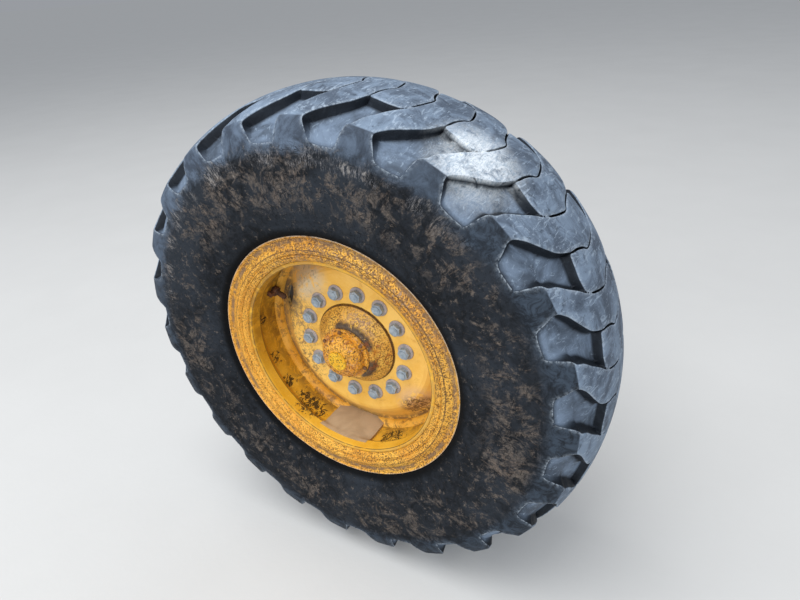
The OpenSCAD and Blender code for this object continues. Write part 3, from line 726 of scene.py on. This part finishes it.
def disc_paint():
    """The disc, with painted shade behind it. Mud lies along its edge, in patches and at its slot, and a
    pale wash above.
    """
    p, base, rough, bumps = paint("disc_paint", "e9b34a", "f6c767", 0.14, 0.10)
    r, h = p.radius(), p.height()
    dirt = p.noise(34, 8, 0.76, bend=1.0)
    crumbs = p.noise(90, 8, 0.78, bend=0.6)
    edge = p.times(p.step(r, 0.250, 0.275), p.step(dirt, 0.36, 0.52))
    base = p.mix(base, "7c5f40", edge, 0.85)
    left = p.near(polar(0.225, DISC_H, 172), 0.05, 0.10)
    base = p.mix(base, "8b7155", left, p.step(crumbs, 0.48, 0.56), 0.85)
    low = p.near(polar(0.215, DISC_H, -150), 0.03, 0.07)
    base = p.mix(base, "7a6248", low, p.step(crumbs, 0.50, 0.56), 0.85)
    wash = p.times(p.near(polar(0.232, DISC_H, 130), 0.035, 0.06), p.step(dirt, 0.34, 0.52))
    base = p.mix(base, "cbbfa6", wash, 0.75)
    base = p.mix(base, "8d8474", wash, p.step(crumbs, 0.54, 0.60), 0.8)
    slot = p.near(polar(0.250, DISC_H, SLOT_ANGLE), 0.035, 0.035)
    base = p.mix(base, "5d5246", slot, p.step(dirt, 0.36, 0.50), 0.85)
    pink = p.near(polar(0.235, DISC_H, -42), 0.03, 0.05)
    base = p.mix(base, "d2ac88", pink, p.step(dirt, 0.4, 0.5, 0.7))
    clod = p.near(polar(0.243, DISC_H - 0.03, -46), 0.036, 0.026)
    base = p.mix(base, "5f452c", clod, p.step(crumbs, 0.43, 0.53), 0.9)
    # Painted shade: the back of the disc, painted dark brown-black
    dish = p.step(r, 0.20, 0.28, -0.039)
    back = p.step(p.math("SUBTRACT", h, dish), DISC_H - 0.008, DISC_H - 0.012)
    base = p.mix(base, "2b221b", back, 0.92)
    return p.finish(base, rough, bumps + [(p.times(edge, dirt), 0.001)])


def weld_paint():
    """The weld round the disc, rippled and dirty."""
    p, base, rough, bumps = paint("weld_paint", "d9982a", "eeb64c", 0.2, 0.3)
    base = p.mix(base, "6b4c2c", p.step(p.noise(30, 8, 0.76, bend=0.8), 0.50, 0.60), 0.7)
    ripple = p.noise(1.0, 3, 0.5, place=p.spokes(60, 0))
    return p.finish(base, rough, bumps + [(ripple, 0.001)])


def cover_paint():
    """The cone of the hub, with dark patches round the cap's foot, partly old grease and partly painted
    shade.
    """
    p, base, rough, bumps = paint("cover_paint", "dc9f38", "ebbb54", 0.72, 0.32)
    dirt = p.noise(55, 8, 0.76, bend=1.0)
    clumps = p.noise(130, 8, 0.78, bend=0.8)
    # Partly painted shade: dark patches round the cap's foot stand for shade at its base as well as grease
    upper = [p.near(polar(0.077, CAP_H, phi), 0.009, 0.013) for phi in range(26, 99, 12)]
    lower = [p.near(polar(0.081, CAP_H, phi), 0.013, 0.013) for phi in (-20, -32, -46)]
    caked = p.near(polar(0.092, CAP_H, 66), 0.03, 0.05)
    base = p.mix(base, "a07f68", caked, p.step(clumps, 0.47, 0.55, 0.85))
    base = p.mix(base, "4a3f37", p.either(*upper, *lower), p.step(dirt, 0.36, 0.43), 0.95)
    base = p.mix(base, "aa5a18", p.near(polar(0.10, CAP_H, 0), 0.03, 0.06), p.step(dirt, 0.50, 0.60, 0.7))
    base = p.mix(base, "4a2c16", p.step(p.radius(), 0.1165, 0.1178), 0.9)
    return p.finish(base, rough, bumps + [(dirt, 0.0012)])


def cap_paint():
    """The hub cap: rusty round its body, bright on its end."""
    p, base, rough, bumps = paint("cap_paint", "d68a20", "eeae3a", 0.6, 0.30)
    dirt = p.noise(55, 8, 0.74, bend=1.2)
    lumps = p.noise(110, 8, 0.78, bend=1.4)
    base = p.mix(base, "9a5318", p.step(dirt, 0.52, 0.58, 0.65))
    base = p.mix(base, "b99b92", p.step(lumps, 0.57, 0.60, 0.9))
    base = p.mix(base, "2f1d11", p.step(p.noise(85, 8, 0.78, bend=1.0), 0.55, 0.58), 0.9)
    bright = p.mix("e0a414", "f2c02c", p.step(dirt, 0.4, 0.6))
    bright = p.mix(bright, "33261a", p.step(p.noise(330, 4, 0.7), 0.55, 0.60))
    end = p.step(p.height(), CAP_H + 0.041, CAP_H + 0.0425)
    base = p.mix(base, bright, p.step(p.radius(), 0.0285, 0.0268), end)
    return p.finish(base, rough, bumps + [(dirt, 0.0022), (lumps, 0.0010)])


def hub_paint():
    """The hub, rusty and muddy all over."""
    p, base, rough, bumps = paint("hub_paint", "b98124", "cf9a3a", 0.9, 0.75)
    return p.finish(base, rough, bumps)


def metal(name, dark, light, rusting, shine, metallic):
    """Bare or rusty steel, and the seal's rubber. rusting, shine and metallic are shares from 0 to 1."""
    p = Paint(name)
    blotch = p.noise(60, 8, 0.7, bend=0.6)
    speck = p.noise(260, 8, 0.8)
    base = p.mix(dark, light, p.step(blotch, 0.34, 0.66))
    rust = p.step(p.times(blotch, speck), 0.42 - 0.22 * rusting, 0.47 - 0.2 * rusting)
    base = p.mix(base, "6e4526", rust, 0.8)
    base = p.mix(base, "ab9a8c", p.step(p.noise(90, 8, 0.8), 0.56, 0.66, 0.6))
    rough = p.math("ADD", p.step(blotch, 0.2, 0.8, 0.3), 1 - shine)
    bumps = [(blotch, 0.0008), (rust, 0.0004), (speck, 0.0003), (p.noise(1200, 3, 0.6), 0.0001)]
    return p.finish(base, rough, bumps, p.times(p.rest(rust), metallic))


def silt():
    """Pale brown dried silt."""
    p = Paint("dried_silt")
    wide = p.noise(14, 6, 0.6, bend=0.6)
    base = p.mix("a38b6d", "b39b7c", p.step(wide, 0.4, 0.62))
    base = p.mix(base, "8e7458", p.step(p.noise(70, 8, 0.8), 0.62, 0.72), 0.5)
    rough = p.math("ADD", p.step(wide, 0.3, 0.7, 0.15), 0.62)
    return p.finish(base, rough, [(wide, 0.0008), (p.noise(260, 5, 0.7), 0.0002)])


# Looks by material slot, and those of the pieces that have their own
LOOKS = {
    "tyre_rubber": rubber(),
    "wheel_paint": flange_paint(),
    "hub_paint": hub_paint(),
    "nut_steel": metal("nut_steel", "7b8994", "a7b3bc", 0.2, 0.5, 0.15),
    "machined_steel": metal("machined_steel", "6d7174", "a2a5a7", 0.35, 0.65, 0.7),
    "rusty_steel": metal("rusty_steel", "5a3a24", "80563a", 0.7, 0.25, 0.1),
    "seal_rubber": metal("seal_rubber", "1f2022", "33353a", 0.0, 0.35, 0.0),
}
VALVE_STEEL = metal("valve_steel", "3f2a1e", "6e4c37", 0.7, 0.4, 0.1)
OWN_LOOKS = {
    "rim_base": barrel_paint(),
    "rim_disc": disc_paint(),
    "disc_weld_ring": weld_paint(),
    "hub_cover": cover_paint(),
    "hub_cap": cap_paint(),
    "hub_cap_bolts": metal("cap_bolt_steel", "6a4a2c", "94714c", 0.8, 0.3, 0.1),
    "valve_stem": VALVE_STEEL,
    "valve_cap": VALVE_STEEL,
    "wheel_washers": metal("washer_steel", "8d8a8c", "b9aca6", 0.4, 0.45, 0.1),
}
for part in frame["record"]["subparts"]:
    for holder in frame["nodes"][part["node"]].material_slots:
        holder.material = OWN_LOOKS.get(part["node"], LOOKS[part["material_slot"]])

# The tyre, with its tread
verts, polys, marks = make_tyre()
tyre = add_piece("tyre_dressed", verts, polys, "wheel", "tyre_rubber", LOOKS["tyre_rubber"], 38, **marks)
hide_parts("tyre", "tread")

# Silt dried flat in the bottom of the barrel, over the weld and on to the lip, where it is only a crust.
# Lengths are in metres.
SILT_ANGLE = -96.5                      # from +X towards +Z
SILT_DEPTH = 0.2735                     # from the axle to the middle of its surface
SILT_HALF = 0.077                       # half width
SILT_BACK = DISC_H - 0.0395             # heights outboard at which it starts and ends
SILT_FRONT = SLOPE_END + 0.012
SILT_CRUST = 0.0014                     # thickness where the barrel rises out of it
SILT_SOFT = 0.002                       # softness of the turn from the flat into the crust
SILT_SINK = 0.0006                      # its under side lies this deep in the barrel
SILT_FRAY = 0.004                       # how far its sides wander
FRAY_SCALE = 30                         # noise steps per metre along the sides
SILT_WAVE = 0.0005                      # height of the waves in its surface
WAVE_SCALE = 40                         # noise steps per metre over the waves
SILT_GRID = (32, 24)                    # faces across and along


def under_silt(u, h):
    """Distance from the axle's level to the barrel or its lip under the silt."""
    return math.sqrt(np.interp(h, [SLOPE_START, SLOPE_END], [BARREL_R, LIP_R]) ** 2 - u ** 2)


def silt_point(under, share, h):
    """A point on the silt's surface, or under it on the barrel. share goes from -1 to 1 across it."""
    u = share * (SILT_HALF + SILT_FRAY * noise.noise(Vector((h * FRAY_SCALE, share * 2, 3))))
    bottom = under_silt(u, h)
    wave = SILT_WAVE * noise.noise(Vector((u * WAVE_SCALE, h * WAVE_SCALE, 1)))
    crust = bottom - SILT_CRUST
    flat = SILT_SOFT * math.log(math.exp(-SILT_DEPTH / SILT_SOFT) + math.exp(-crust / SILT_SOFT))
    deep = bottom + SILT_SINK if under else wave - flat
    down = polar(1, 0, SILT_ANGLE)
    side = Vector((-down.z, 0, down.x))
    return down * deep + side * u + Vector((0, -h, 0))


def make_silt():
    """Points and faces of the silt: its surface, its under side and the rim between them."""
    across, along = SILT_GRID
    verts = [silt_point(under, 2 * i / across - 1, SILT_BACK + (SILT_FRONT - SILT_BACK) * j / along)
             for under in (0, 1) for i in range(across + 1) for j in range(along + 1)]
    polys = []

    def at(under, i, j):
        return (under * (across + 1) + i) * (along + 1) + j

    for i in range(across):
        for j in range(along):
            polys.append([at(0, i, j), at(0, i + 1, j), at(0, i + 1, j + 1), at(0, i, j + 1)])
            polys.append([at(1, i, j), at(1, i, j + 1), at(1, i + 1, j + 1), at(1, i + 1, j)])
    rim = [(i, 0) for i in range(across)] + [(across, j) for j in range(along)]
    rim += [(i, along) for i in range(across, 0, -1)] + [(0, j) for j in range(along, 0, -1)]
    for (i, j), (k, m) in zip(rim, rim[1:] + rim[:1]):
        polys.append([at(0, i, j), at(1, i, j), at(1, k, m), at(0, k, m)])
    return verts, polys


verts, polys = make_silt()
add_piece("dried_silt", verts, polys, "wheel", None, silt(), 40)

# Floor, light and camera
FLOOR_HALF = 600                        # the floor reaches to the horizon
LIGHT = (0.52, 0.545, 0.59)             # light from all round
BACKDROP = (0.316, 0.331, 0.357)        # what is seen of it, as grey as the floor at the horizon
LAMP_AIM = Vector((0, -0.2, 0))
CAMERA_PLACE = (0.832, -1.454, 0.869)   # fitted to the rim in the photograph
CAMERA_RIGHT = Vector((0.8732, 0.4818, -0.0763))
CAMERA_DOWN = Vector((0.1705, -0.4479, -0.8778))
CAMERA_SENSOR = 36                      # width of the sensor and focal length in mm
CAMERA_LENS = 27.05


def make_floor():
    """A pale matte floor under the tyre."""
    ground = Paint("floor", specular=0.0)
    colour = ground.mix("c9c9c7", "d0d0ce", ground.noise(2))
    look = ground.finish(colour, 0.85, [(ground.noise(40), 0.0005)])
    corners = [(x * FLOOR_HALF, y * FLOOR_HALF, -TYRE_R) for x, y in ((-1, -1), (1, -1), (1, 1), (-1, 1))]
    floor_piece = add_mesh("floor", corners, [(0, 1, 2, 3)], look)


def make_world():
    """Soft light from all round, with a plain backdrop where the camera or a reflection sees it."""
    world = bpy.data.worlds.new("studio")
    world.use_nodes = True
    sky = Nodes(world.node_tree)
    rays = [sky.node("ShaderNodeLightPath", out=kind)
            for kind in ("Is Camera Ray", "Is Glossy Ray", "Is Transmission Ray")]
    sky.put(sky.tree.nodes["Background"].inputs["Color"], sky.mix(LIGHT, BACKDROP, sky.either(*rays)))
    bpy.context.scene.world = world


def add_lamp(name, place, size, watts):
    """A soft square lamp that shines on the wheel."""
    light = bpy.data.lights.new(name, "AREA")
    light.size = size
    light.energy = watts
    lamp = bpy.data.objects.new(name, light)
    lamp.location = place
    lamp.rotation_euler = (LAMP_AIM - Vector(place)).to_track_quat("-Z", "Y").to_euler()
    bpy.context.scene.collection.objects.link(lamp)


def make_camera():
    """The camera, at the photograph's place."""
    camera = bpy.data.objects.new("camera", bpy.data.cameras.new("camera"))
    back = CAMERA_DOWN.cross(CAMERA_RIGHT)
    turn = Matrix((CAMERA_RIGHT, -CAMERA_DOWN, back)).transposed().to_4x4()
    camera.matrix_world = Matrix.Translation(CAMERA_PLACE) @ turn
    camera.data.sensor_width = CAMERA_SENSOR
    camera.data.lens = CAMERA_LENS
    bpy.context.scene.collection.objects.link(camera)
    bpy.context.scene.camera = camera


make_floor()
make_world()
add_lamp("sky", (-1.2, -2.8, 8.0), 7.0, 640)
add_lamp("front", (1.6, -7.6, 4.0), 6.0, 340)
make_camera()
bpy.context.scene.view_settings.view_transform = "Standard"
